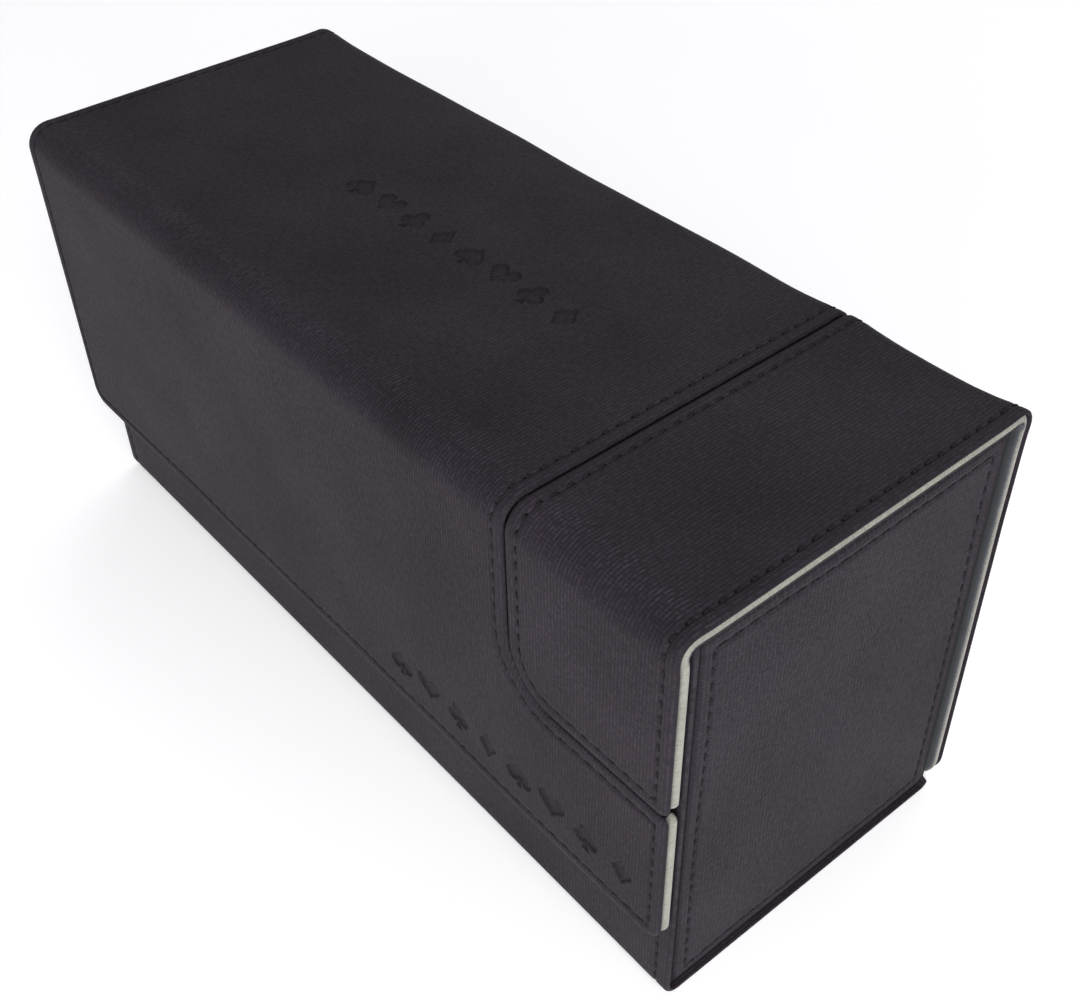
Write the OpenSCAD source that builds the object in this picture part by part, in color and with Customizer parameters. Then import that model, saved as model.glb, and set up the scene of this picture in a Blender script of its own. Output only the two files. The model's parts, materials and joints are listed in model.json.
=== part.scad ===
// Long card deck box with two magnetic lids.
// The large lid covers the card well, the small lid covers a well for dice and tokens.
// Each lid is one stitched strip of leatherette, board and lining that wraps the box:
// back panel, top panel and front flap, bending at two soft folds.
// Frame: X runs along the box towards the dice end, -Y is the flap side, Z = 0 is the table.

/* [Outside] */
// Length over the lids
box_l = 228; // [200:1:300]
// Width from the back panel to the front flap
box_w = 91; // [84:1:110]
// Height of the closed box
box_h = 108; // [104:1:120]

/* [Lids] */
// Length of the small lid along the box
small_lid_l = 42.2; // [38:0.1:60]
// Gap between the two lids
lid_gap = 1.2; // [0.8:0.1:2]
// Height of the lower edge of the large flap
large_flap_z = 25; // [15:1:30]
// Height of the lower edge of the small flap
small_flap_z = 64.4; // [60:0.1:70]
// Corner radius where the small flap nests in the large one
nest_r = 12; // [8:0.5:13]
// Radius of the small flap's other lower corner
small_r = 2.5; // [2:0.5:6]
// Radius of the outer flap corners
flap_r = 5; // [3:0.5:8]
// Radius of the lower corners of the back panels
back_r = 8; // [4:0.5:12]
// Height of the lower edge of the back panels
back_z = 0.5; // [0.5:0.5:10]

/* [Layers] */
// Thickness of the leatherette on the lids and ends
leather_t = 0.9; // [0.7:0.1:1.2]
// Thickness of the stiffening board in the lids
lid_board_t = 1.5; // [1.2:0.1:2]
// Border round a lid board where the leatherette and lining meet
board_inset = 1; // [0.5:0.1:2]
// Thickness of the soft lining
lining_t = 0.8; // [0.5:0.1:1.2]
// Thickness of the outer wrap of the body
wrap_t = 1.2; // [0.8:0.1:1.5]
// Thickness of the boards of the body
body_board_t = 2; // [1.8:0.1:3]

/* [Body] */
// Gap between the closed flap and the front of the body
flap_gap = 1; // [0.6:0.1:2]
// How far the lids overhang the body wrap at the far end
far_overhang = 3; // [1:0.5:4]
// How far the lids overhang the body wrap at the dice end
near_overhang = 0.4; // [0.2:0.1:1]
// Recess of the end panels behind the edges of the wrap
end_recess = 0.8; // [0.5:0.1:2]
// Border left bare around the end panels
end_border = 1.1; // [0.5:0.1:2]
// How far the back of the wrap stops short of its front at the dice end
back_short = 3.6; // [2:0.1:4]

/* [Magnets] */
// Diameter of the disc magnets
magnet_d = 12; // [8:1:14]
// Clearance around each magnet
magnet_gap = 0.1; // [0.05:0.05:0.2]

/* [Dividers] */
// Thickness of a divider
divider_t = 2; // [1.5:0.1:3]
// Gap between a divider and the side lining
divider_gap = 0.5; // [0.3:0.1:1]
// Height of the body of a divider, without its tab
divider_h = 91; // [70:1:92]
// Corner radius of the dividers
divider_r = 6; // [3:0.5:10]
// Place of the first divider along the box
divider_1_x = -48; // [-60:1:-40]
// Place of the second divider along the box
divider_2_x = 12; // [5:1:20]

/* [Hidden] */

$fn = 64;
// Overshoot of cutters past the faces they open
over = 1;
// Thickness of the two plates that span a slanted cutter
thin = 0.01;
// Clearance around moving folds
fold_gap = 0.3;
// Clearance between the lid lining and the rim of the body
rim_gap = 0.2;

// The layers of a lid panel, from the outside in
panel_t = leather_t + lid_board_t + lining_t;
fold_r = panel_t / 2;
// Distance from a fold's axis to the end of the stiff panels beside it
fold_end = fold_r + fold_gap;

// Ends of the two lids along X
far_x = -box_l / 2;
near_x = box_l / 2;
small_x0 = near_x - small_lid_l;
large_x1 = small_x0 - lid_gap;

// Outer faces and fold axes
front_y = -box_w / 2;
back_y = box_w / 2;
front_axis_y = front_y + fold_r;
back_axis_y = back_y - fold_r;
axis_z = box_h - fold_r;

// Edges of the flat panels that end at the folds
top_y0 = front_axis_y + fold_end;
top_y1 = back_axis_y - fold_end;
flap_top_z = axis_z - fold_end;
top_z0 = box_h - panel_t;

// The nest: the outline in the large flap that the small flap sits in.
// Its edge is cut at a slant, so that the foot below the small flap swings clear of it.
nest_x = large_x1;
nest_z = small_flap_z - lid_gap;
nest_outer_r = nest_r + lid_gap;
// Fall of the slanted edge per millimetre of thickness
nest_slant = 2.6;

// Body: outer faces of the wrap, boards and wells
body_y0 = front_y + panel_t + flap_gap;
body_y1 = back_y - panel_t;
rim_z = top_z0 - rim_gap;
// The lining wraps over the top edges of the boards
board_z1 = rim_z - lining_t;
wrap_x0 = far_x + far_overhang;
wrap_x1 = near_x - near_overhang;
wrap_back_x1 = wrap_x1 - back_short;
board_y0 = body_y0 + wrap_t;
board_y1 = body_y1 - wrap_t;
board_z0 = wrap_t;
well_y0 = board_y0 + body_board_t;
well_y1 = board_y1 - body_board_t;
well_z0 = board_z0 + body_board_t;
// Outer faces of the two end boards, behind their covers
end_x0 = wrap_x0 + end_recess + leather_t;
end_x1 = wrap_x1 - end_recess - leather_t;
// Partition under the gap between the lids
partition_x = (large_x1 + small_x0) / 2;
partition_x0 = partition_x - body_board_t / 2;
partition_x1 = partition_x + body_board_t / 2;

// Magnets: three along the foot of the large flap, one in the small flap
magnet_rise = 12;
magnet_z = large_flap_z + magnet_rise;
magnet_xs = [-75, 0, 62];
small_magnet_x = (small_x0 + near_x) / 2;
small_magnet_z = small_flap_z + magnet_rise;

// Width and height of a divider's tab, and its clearance over the floor lining
tab_w = 26;
tab_h = 4.5;
floor_gap = 0.2;

// An axis-aligned block between two corners
module block(x0, x1, y0, y1, z0, z1) {
    translate([x0, y0, z0]) cube([x1 - x0, y1 - y0, z1 - z0]);
}

// Stands an outline drawn in X and Z upright, from y0 to y0 + t
module upright(y0, t) {
    translate([0, y0 + t, 0]) rotate([90, 0, 0]) linear_extrude(t) children();
}

// Cutter that rounds the lower left corner of an outline at the origin
module corner_cut(r) {
    difference() {
        translate([-over, -over]) square(r + over);
        translate([r, r]) circle(r);
    }
}

// Outline with its two lower corners rounded
module plate_outline(x0, x1, z0, z1, r0, r1) {
    difference() {
        translate([x0, z0]) square([x1 - x0, z1 - z0]);
        translate([x0, z0]) corner_cut(r0);
        translate([x1, z0]) mirror([1, 0]) corner_cut(r1);
    }
}

// Outline of the opening that the small flap sits in, grown by inset
module nest_outline(inset) {
    x = nest_x - inset;
    z = nest_z - inset;
    difference() {
        translate([x, z]) square([near_x + over - x, box_h]);
        translate([x, z]) corner_cut(nest_outer_r + inset);
    }
}

// Slanted cutter of the nest, lower on the inside of the flap than on the outside
module nest_cutter(inset) {
    hull() {
        translate([0, 0, nest_slant * over])
            upright(front_y - over, thin) nest_outline(inset, $fn = 48);
        translate([0, 0, -nest_slant * (panel_t + over)])
            upright(front_y + panel_t + over, thin) nest_outline(inset, $fn = 48);
    }
}

// One layer of the large flap, smaller than the flap by inset all round its free edges
module large_flap_layer(y0, t, inset = 0) {
    r = flap_r - inset;
    difference() {
        upright(y0, t)
            plate_outline(far_x + inset, near_x - inset, large_flap_z + inset, flap_top_z, r, r);
        nest_cutter(inset);
    }
}

module small_flap_layer(y0, t, inset = 0) {
    upright(y0, t)
        plate_outline(small_x0 + inset, near_x - inset, small_flap_z + inset, flap_top_z,
                      nest_r - inset, small_r - inset);
}

module back_layer(x0, x1, y0, t, inset = 0) {
    r = back_r - inset;
    upright(y0, t) plate_outline(x0 + inset, x1 - inset, back_z + inset, flap_top_z, r, r);
}

// Disc along Y, its lower face at y0
module disc(x, y0, z, d, t) {
    translate([x, y0 + t, z]) rotate([90, 0, 0]) cylinder(d = d, h = t);
}

// One soft fold: a round spine on the joint's axis, with a web to the top panel
module fold(x0, x1, axis_y, panel_edge_y) {
    translate([x0, axis_y, axis_z]) rotate([0, 90, 0]) cylinder(r = fold_r, h = x1 - x0);
    block(x0, x1, min(axis_y, panel_edge_y), max(axis_y, panel_edge_y),
          axis_z - fold_r / 2, axis_z + fold_r / 2);
}

// Open box of lining that covers the floor and the walls of a well.
// At the rim it turns outwards over the boards, x_over0 and x_over1 far at the two ends.
module well_lining(x0, x1, x_over0, x_over1) {
    difference() {
        union() {
            block(x0, x1, well_y0, well_y1, well_z0, rim_z);
            block(x0 - x_over0, x1 + x_over1, board_y0, well_y1 + body_board_t, board_z1, rim_z);
        }
        block(x0 + lining_t, x1 - lining_t, well_y0 + lining_t, well_y1 - lining_t,
              well_z0 + lining_t, rim_z + over);
    }
}

module end_cover(x0) {
    block(x0, x0 + leather_t, board_y0 + end_border, well_y1, board_z0 + end_border, rim_z - end_border);
}

module divider(x) {
    y0 = well_y0 + lining_t + divider_gap;
    y1 = well_y1 - lining_t - divider_gap;
    z0 = well_z0 + lining_t + floor_gap;
    mid_y = (y0 + y1) / 2;
    top_z = z0 + divider_h;
    translate([x - divider_t / 2, 0, 0]) rotate([90, 0, 90]) linear_extrude(divider_t) {
        difference() {
            translate([y0, z0]) square([y1 - y0, divider_h]);
            translate([y0, top_z]) mirror([0, 1]) corner_cut(divider_r);
            translate([y1, top_z]) mirror([0, 1]) mirror([1, 0]) corner_cut(divider_r);
        }
        translate([mid_y - tab_w / 2, top_z - over]) square([tab_w, tab_h + over]);
    }
}

// Body boards
module base_board() {
    color("#9a938a") block(end_x0, end_x1, board_y0, board_y1, board_z0, well_z0);
}

module front_board() {
    color("#9a938a") difference() {
        block(end_x0, end_x1, board_y0, well_y0, well_z0, board_z1);
        for (x = magnet_xs)
            disc(x, board_y0 - over, magnet_z, magnet_d, over + lid_board_t);
        disc(small_magnet_x, board_y0 - over, small_magnet_z, magnet_d, over + lid_board_t);
    }
}

module back_board() {
    color("#9a938a") block(end_x0, wrap_back_x1, well_y1, board_y1, well_z0, board_z1);
}

module far_end_board() {
    color("#9a938a") block(end_x0, end_x0 + body_board_t, well_y0, well_y1, well_z0, board_z1);
}

module near_end_board() {
    color("#9a938a") block(end_x1 - body_board_t, end_x1, well_y0, well_y1, well_z0, board_z1);
}

module partition_board() {
    color("#9a938a") block(partition_x0, partition_x1, well_y0, well_y1, well_z0, board_z1);
}

// Body covers
module front_cover() {
    color("#37343a") block(wrap_x0, wrap_x1, body_y0, board_y0, 0, rim_z);
}

module base_cover() {
    color("#37343a") block(wrap_x0, wrap_x1, board_y0, board_y1, 0, board_z0);
}

module back_cover() {
    color("#37343a") block(wrap_x0, wrap_back_x1, board_y1, body_y1, 0, rim_z);
}

module far_end_cover() {
    color("#403d42") end_cover(end_x0 - leather_t);
}

module near_end_cover() {
    color("#403d42") end_cover(end_x1);
}

// Linings of the two wells
module card_well_lining() {
    color("#8f9296")
        well_lining(end_x0 + body_board_t, partition_x0, body_board_t, body_board_t / 2);
}

module dice_well_lining() {
    color("#8f9296") {
        well_lining(partition_x1, end_x1 - body_board_t, body_board_t / 2, 0);
        block(end_x1 - body_board_t, end_x1, board_y0, well_y1, board_z1, rim_z);
    }
}

module body_magnets() {
    color("#c8c8cc") {
        for (x = magnet_xs)
            disc(x, board_y0 + magnet_gap, magnet_z, magnet_d - 2 * magnet_gap,
                 lid_board_t - 2 * magnet_gap);
        disc(small_magnet_x, board_y0 + magnet_gap, small_magnet_z, magnet_d - 2 * magnet_gap,
             lid_board_t - 2 * magnet_gap);
    }
}

// Back panels, glued to the back of the body
module large_back_cover() {
    color("#37343a") back_layer(far_x, large_x1, back_y - leather_t, leather_t);
}

module large_back_board() {
    color("#9a938a") back_layer(far_x, large_x1, body_y1 + lining_t, lid_board_t, board_inset);
}

module large_back_lining() {
    color("#a9abad") back_layer(far_x, large_x1, body_y1, lining_t);
}

module small_back_cover() {
    color("#37343a") back_layer(small_x0, near_x, back_y - leather_t, leather_t);
}

module small_back_board() {
    color("#9a938a") back_layer(small_x0, near_x, body_y1 + lining_t, lid_board_t, board_inset);
}

module small_back_lining() {
    color("#a9abad") back_layer(small_x0, near_x, body_y1, lining_t);
}

// Large lid
module large_top_cover() {
    color("#37343a") block(far_x, large_x1, top_y0, top_y1, box_h - leather_t, box_h);
}

module large_top_board() {
    color("#9a938a")
        block(far_x + board_inset, large_x1 - board_inset, top_y0, top_y1,
              top_z0 + lining_t, box_h - leather_t);
}

module large_top_lining() {
    color("#a9abad") block(far_x, large_x1, top_y0, top_y1, top_z0, top_z0 + lining_t);
}

module large_back_fold() {
    color("#2f2c31") fold(far_x, large_x1, back_axis_y, top_y1);
}

module large_front_fold() {
    color("#2f2c31") fold(far_x, large_x1, front_axis_y, top_y0);
}

// Large flap
module large_flap_cover() {
    color("#37343a") large_flap_layer(front_y, leather_t);
}

module large_flap_board() {
    color("#9a938a") difference() {
        large_flap_layer(front_y + leather_t, lid_board_t, board_inset);
        for (x = magnet_xs)
            disc(x, front_y, magnet_z, magnet_d, panel_t);
    }
}

module large_flap_lining() {
    color("#a9abad") large_flap_layer(front_y + leather_t + lid_board_t, lining_t);
}

module large_flap_magnets() {
    color("#c8c8cc") for (x = magnet_xs)
        disc(x, front_y + leather_t + magnet_gap, magnet_z, magnet_d - 2 * magnet_gap,
             lid_board_t - 2 * magnet_gap);
}

// Small lid
module small_top_cover() {
    color("#37343a") block(small_x0, near_x, top_y0, top_y1, box_h - leather_t, box_h);
}

module small_top_board() {
    color("#9a938a")
        block(small_x0 + board_inset, near_x - board_inset, top_y0, top_y1,
              top_z0 + lining_t, box_h - leather_t);
}

module small_top_lining() {
    color("#a9abad") block(small_x0, near_x, top_y0, top_y1, top_z0, top_z0 + lining_t);
}

module small_back_fold() {
    color("#2f2c31") fold(small_x0, near_x, back_axis_y, top_y1);
}

module small_front_fold() {
    color("#2f2c31") fold(small_x0, near_x, front_axis_y, top_y0);
}

// Small flap
module small_flap_cover() {
    color("#37343a") small_flap_layer(front_y, leather_t);
}

module small_flap_board() {
    color("#9a938a") difference() {
        small_flap_layer(front_y + leather_t, lid_board_t, board_inset);
        disc(small_magnet_x, front_y, small_magnet_z, magnet_d, panel_t);
    }
}

module small_flap_lining() {
    color("#a9abad") small_flap_layer(front_y + leather_t + lid_board_t, lining_t);
}

module small_flap_magnet() {
    color("#c8c8cc") disc(small_magnet_x, front_y + leather_t + magnet_gap, small_magnet_z,
                          magnet_d - 2 * magnet_gap, lid_board_t - 2 * magnet_gap);
}

// Dividers that slide along the card well
module divider_1() {
    color("#55565a") divider(divider_1_x);
}

module divider_2() {
    color("#55565a") divider(divider_2_x);
}

base_board();
front_board();
back_board();
far_end_board();
near_end_board();
partition_board();
front_cover();
base_cover();
back_cover();
far_end_cover();
near_end_cover();
card_well_lining();
dice_well_lining();
body_magnets();
large_back_cover();
large_back_board();
large_back_lining();
small_back_cover();
small_back_board();
small_back_lining();
large_top_cover();
large_top_board();
large_top_lining();
large_back_fold();
large_front_fold();
large_flap_cover();
large_flap_board();
large_flap_lining();
large_flap_magnets();
small_top_cover();
small_top_board();
small_top_lining();
small_back_fold();
small_front_fold();
small_flap_cover();
small_flap_board();
small_flap_lining();
small_flap_magnet();
divider_1();
divider_2();
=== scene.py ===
"""Looks of the card deck box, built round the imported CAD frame.

Lengths are millimetres until a mesh or a shader node is given them. A sheet starts as a flat pattern (u, v)
with a height h over it, and its function to3d bends it into place.
"""

import json
import math

import bmesh
import bpy
import numpy as np
from mathutils import Matrix, Vector
from mathutils.geometry import delaunay_2d_cdt


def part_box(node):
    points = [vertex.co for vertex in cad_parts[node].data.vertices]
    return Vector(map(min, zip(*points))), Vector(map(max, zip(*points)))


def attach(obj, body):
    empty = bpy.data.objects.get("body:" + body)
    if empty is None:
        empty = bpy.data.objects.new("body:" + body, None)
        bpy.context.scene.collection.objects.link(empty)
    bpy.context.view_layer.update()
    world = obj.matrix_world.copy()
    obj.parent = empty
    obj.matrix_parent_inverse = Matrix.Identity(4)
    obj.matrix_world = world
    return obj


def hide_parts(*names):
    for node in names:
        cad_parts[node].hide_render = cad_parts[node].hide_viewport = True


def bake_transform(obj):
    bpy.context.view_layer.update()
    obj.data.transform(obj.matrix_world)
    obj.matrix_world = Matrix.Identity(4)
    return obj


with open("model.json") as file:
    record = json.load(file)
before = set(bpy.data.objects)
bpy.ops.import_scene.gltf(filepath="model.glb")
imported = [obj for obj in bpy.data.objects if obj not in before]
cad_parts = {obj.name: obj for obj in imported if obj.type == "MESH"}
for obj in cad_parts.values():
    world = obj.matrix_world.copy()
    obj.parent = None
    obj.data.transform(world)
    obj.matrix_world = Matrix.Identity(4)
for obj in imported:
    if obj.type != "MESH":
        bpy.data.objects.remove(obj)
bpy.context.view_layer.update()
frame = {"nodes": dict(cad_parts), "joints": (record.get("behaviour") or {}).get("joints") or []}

MM = 0.001


# ---------------------------------------------------------------- sizes from the CAD model

def box(node):
    lo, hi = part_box(node)
    return np.array(lo) * 1000, np.array(hi) * 1000


FAR_X, BACK_Z = box("large_back_cover")[0][[0, 2]]
LARGE_X1 = box("large_back_cover")[1][0]
SMALL_X0 = box("small_back_cover")[0][0]
NEAR_X, BACK_Y = box("small_back_cover")[1][:2]
FRONT_Y, FLAP_Z = box("large_flap_cover")[0][1:]
SMALL_FLAP_Z = box("small_flap_cover")[0][2]
TOP_Z = box("large_top_cover")[1][2]
LEATHER = BACK_Y - box("large_back_board")[1][1]
PANEL = BACK_Y - box("large_back_lining")[0][1]
NEST_Z = SMALL_FLAP_Z - (SMALL_X0 - LARGE_X1)
WRAP_LO, WRAP_HI = box("front_cover")
WRAP_BACK_X, WRAP_BACK_Y = box("back_cover")[1][:2]
WRAP = WRAP_HI[1] - WRAP_LO[1]
RIM_Z = WRAP_HI[2]
BASE_TOP = box("base_board")[0][2]
# the visual model's own sizes: radii of the folds, how deep the suits are pressed, where a lid's halves meet
BACK_FOLD, FRONT_FOLD = 5.0, 6.0
PRESSED = 0.5
SPLIT_Y = 20.0


# ---------------------------------------------------------------- materials

class Shading:
    """A new material, with short ways to add nodes to its tree."""

    def __init__(self, name):
        self.material = bpy.data.materials.new(name)
        self.material.use_nodes = True
        self.nodes, self.links = self.material.node_tree.nodes, self.material.node_tree.links
        self.shader = self.nodes["Principled BSDF"]

    def feed(self, socket, value):
        """Link the socket to an output, or give it a plain value."""
        if isinstance(value, bpy.types.NodeSocket):
            self.links.new(value, socket)
        else:
            socket.default_value = value

    def surface(self, **sockets):
        """Fill the surface shader's sockets, named with _ for a space, and hand back the material."""
        for name, value in sockets.items():
            self.feed(self.shader.inputs[name.replace("_", " ")], value)
        return self.material

    def flat_coords(self):
        node = self.nodes.new("ShaderNodeUVMap")
        node.uv_map = "flat"
        return node.outputs["UV"]

    def object_coords(self):
        return self.nodes.new("ShaderNodeTexCoord").outputs["Object"]

    def attribute(self, name):
        node = self.nodes.new("ShaderNodeAttribute")
        node.attribute_name = name
        return node.outputs["Fac"]

    def noise(self, vector, grain, detail=3.0, stretch=(1, 1, 1), rough=0.5):
        """Noise with grains about as long as grain, drawn out by stretch."""
        mapping = self.nodes.new("ShaderNodeMapping")
        mapping.inputs["Scale"].default_value = stretch
        self.feed(mapping.inputs["Vector"], vector)
        node = self.nodes.new("ShaderNodeTexNoise")
        node.inputs["Scale"].default_value = 1000 / grain
        node.inputs["Detail"].default_value = detail
        node.inputs["Roughness"].default_value = rough
        self.feed(node.inputs["Vector"], mapping.outputs["Vector"])
        return node.outputs["Fac"]

    def calc(self, how, a, b):
        node = self.nodes.new("ShaderNodeMath")
        node.operation = how
        for socket, value in zip(node.inputs, (a, b)):
            self.feed(socket, value)
        return node.outputs[0]

    def weigh(self, a, share_a, b, share_b):
        return self.calc("ADD", self.calc("MULTIPLY", a, share_a), self.calc("MULTIPLY", b, share_b))

    def spread(self, value, lo, hi, to_lo, to_hi):
        """The value moved from the range lo to hi to the range to_lo to to_hi, and held inside it."""
        node = self.nodes.new("ShaderNodeMapRange")
        for name, v in (("From Min", lo), ("From Max", hi), ("To Min", to_lo), ("To Max", to_hi)):
            node.inputs[name].default_value = v
        self.feed(node.inputs["Value"], value)
        return node.outputs["Result"]

    def ramp(self, value, stops):
        node = self.nodes.new("ShaderNodeValToRGB")
        while len(node.color_ramp.elements) < len(stops):
            node.color_ramp.elements.new(0.5)
        for element, (at, colour) in zip(node.color_ramp.elements, stops):
            element.position = at
            element.color = (*colour, 1)
        self.feed(node.inputs["Fac"], value)
        return node.outputs["Color"]

    def tints(self, value, base, *stops):
        """The base colour, made darker or paler: each stop is (place, factor)."""
        return self.ramp(value, [(at, tuple(c * factor for c in base)) for at, factor in stops])

    def mix(self, factor, a, b):
        node = self.nodes.new("ShaderNodeMix")
        node.data_type = "RGBA"
        for name, value in (("Factor", factor), ("A", a), ("B", b)):
            self.feed(next(i for i in node.inputs if i.name == name and i.enabled), value)
        return next(o for o in node.outputs if o.enabled)

    def bump(self, height, depth, before=None):
        node = self.nodes.new("ShaderNodeBump")
        node.inputs["Distance"].default_value = depth * MM
        self.feed(node.inputs["Height"], height)
        if before is not None:
            self.feed(node.inputs["Normal"], before)
        return node.outputs["Normal"]


def threads(m, uv, direction, pitch, worn):
    """Embossed linen threads side by side, each one fading in and out along its length."""
    wave = m.nodes.new("ShaderNodeTexWave")
    wave.bands_direction = direction
    wave.inputs["Scale"].default_value = math.pi / (10 * pitch * MM)
    wave.inputs["Distortion"].default_value = 0.8
    wave.inputs["Detail"].default_value = 1.0
    wave.inputs["Detail Scale"].default_value = 0.6
    m.feed(wave.inputs["Vector"], uv)
    stretch = (1, 0.5, 1) if direction == "X" else (0.5, 1, 1)
    streak = m.noise(uv, pitch / 1.3, 2.0, stretch)
    return m.calc("MULTIPLY", wave.outputs["Fac"], m.spread(streak, 0.36, 0.62, worn, 1))


def ridge_highlight(m, uv, ridge, grain):
    """Painted highlight: paler grain in patches along the ridge, where the board's edge shows through on the
    pattern.
    """
    parts = m.nodes.new("ShaderNodeSeparateXYZ")
    m.feed(parts.inputs[0], uv)
    away = m.calc("ABSOLUTE", m.calc("SUBTRACT", parts.outputs[1], ridge * MM), 0)
    by_ridge = m.spread(away, 0, 4.5 * MM, 0.42, 0)
    patchy = m.spread(m.noise(uv, 14, 2.0), 0.38, 0.62, 0.3, 1)
    return m.calc("MULTIPLY", m.calc("MULTIPLY", by_ridge, patchy), grain)


def pressed_darkening(m):
    """How much darker the pressed suits are: a little on their floor, where pressing darkens the coating, and
    more on their walls, where it is painted shade as well.
    """
    depth = m.attribute("pressed")
    wall = m.calc("MULTIPLY", depth, m.calc("SUBTRACT", 1.0, depth))
    return m.weigh(wall, 1.2, depth, 0.06)


def leatherette(name, base, pitch, across=0.75, ridge=None):
    """Dark coated fabric with a fine linen grain, paler on its threads. Only lids have the ridge, with its
    painted highlight, and the suits.
    """
    m = Shading(name)
    uv = m.flat_coords()
    down = threads(m, uv, "X", pitch, 0.15)
    over = threads(m, uv, "Y", 0.86 * pitch, 0.05)
    fine = m.noise(uv, 0.3, 2.0)
    cloud = m.noise(uv, 30)
    weave = m.calc("MAXIMUM", down, m.calc("MULTIPLY", over, across))
    shade = m.weigh(weave, 0.42, cloud, 0.5)
    if ridge is not None:
        shade = m.calc("ADD", shade, ridge_highlight(m, uv, ridge, down))
        shade = m.calc("SUBTRACT", shade, pressed_darkening(m))
    relief = m.bump(weave, 0.05, m.bump(cloud, 0.3))
    return m.surface(
        Base_Color=m.tints(shade, base, (0.15, 0.62), (0.42, 1.0), (0.7, 1.6), (1.0, 2.4)),
        Roughness=m.calc("ADD", m.spread(weave, 0, 1, 0.62, 0.5), m.spread(fine, 0.3, 0.7, -0.05, 0.05)),
        Normal=m.bump(fine, 0.02, relief),
        Specular_IOR_Level=0.05, Sheen_Weight=0.005, Sheen_Roughness=0.5)


def microfibre(name, face, cut=None):
    """Short-napped lining with a mottled, fuzzy surface. If it has a cut edge, the attribute tone is 1 there,
    0 on the face, and below 0 in painted deep shade, where the colour is taken to near black."""
    m = Shading(name)
    at = m.flat_coords() if cut else m.object_coords()
    nap = m.noise(at, 0.5, 4.0, rough=0.7)
    blotch = m.noise(at, 9)
    mottle = m.weigh(nap, 0.6, blotch, 0.4)
    stops = (0.3, 0.75), (0.5, 1), (0.75, 1.2)
    colour = m.tints(mottle, face, *stops)
    if cut:
        tone = m.attribute("tone")
        frayed = m.calc("ADD", tone, m.spread(nap, 0.3, 0.7, -0.18, 0.18))
        colour = m.mix(frayed, colour, m.tints(mottle, cut, *stops))
        # painted deep shade: near black where tone is below 0
        colour = m.mix(m.calc("MULTIPLY", tone, -1.0), colour, (0.003, 0.003, 0.003, 1))
    return m.surface(
        Base_Color=colour, Roughness=m.spread(nap, 0.3, 0.7, 0.82, 0.98),
        Normal=m.bump(nap, 0.18, m.bump(blotch, 0.2)),
        Sheen_Weight=0.25, Sheen_Roughness=0.4, Specular_IOR_Level=0.2)


def thread_material(name, base):
    """Twisted black polyester thread."""
    m = Shading(name)
    ply = m.noise(m.object_coords(), 0.25, 2.0)
    return m.surface(
        Base_Color=m.tints(ply, base, (0.35, 0.6), (0.65, 1.6)),
        Roughness=m.spread(ply, 0.3, 0.7, 0.65, 0.85),
        Normal=m.bump(ply, 0.05), Specular_IOR_Level=0.12)


def board_material(name, base):
    """Grey bookbinder's board with a fibrous, speckled face."""
    m = Shading(name)
    at = m.object_coords()
    fibre = m.noise(at, 0.8, 5.0, rough=0.7)
    mottle = m.weigh(fibre, 0.7, m.noise(at, 3, 2.0), 0.3)
    return m.surface(
        Base_Color=m.tints(mottle, base, (0.3, 0.7), (0.7, 1.25)),
        Roughness=m.spread(fibre, 0.3, 0.7, 0.85, 1.0),
        Normal=m.bump(fibre, 0.1))


def plastic_material(name, base):
    """Matt moulded polypropylene sheet with a fine spark-eroded grain."""
    m = Shading(name)
    at = m.object_coords()
    haze = m.noise(at, 25)
    return m.surface(
        Base_Color=m.tints(haze, base, (0.35, 0.85), (0.65, 1.2)),
        Roughness=m.spread(haze, 0.3, 0.7, 0.6, 0.72),
        Normal=m.bump(m.noise(at, 0.35, 2.0), 0.03), Specular_IOR_Level=0.25)


def magnet_material(name):
    """Nickel-plated disc with faint turning marks."""
    m = Shading(name)
    marks = m.noise(m.object_coords(), 1.5, 3.0, (1, 1, 6))
    return m.surface(
        Base_Color=m.ramp(marks, [(0.3, (0.5, 0.5, 0.51)), (0.7, (0.7, 0.7, 0.71))]),
        Roughness=m.spread(marks, 0.3, 0.7, 0.2, 0.34), Normal=m.bump(marks, 0.02), Metallic=1.0)


# ---------------------------------------------------------------- the paths that patterns bend along

def left_of(direction):
    """The direction a quarter turn anticlockwise from this one."""
    return np.array([-direction[1], direction[0]])


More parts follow.
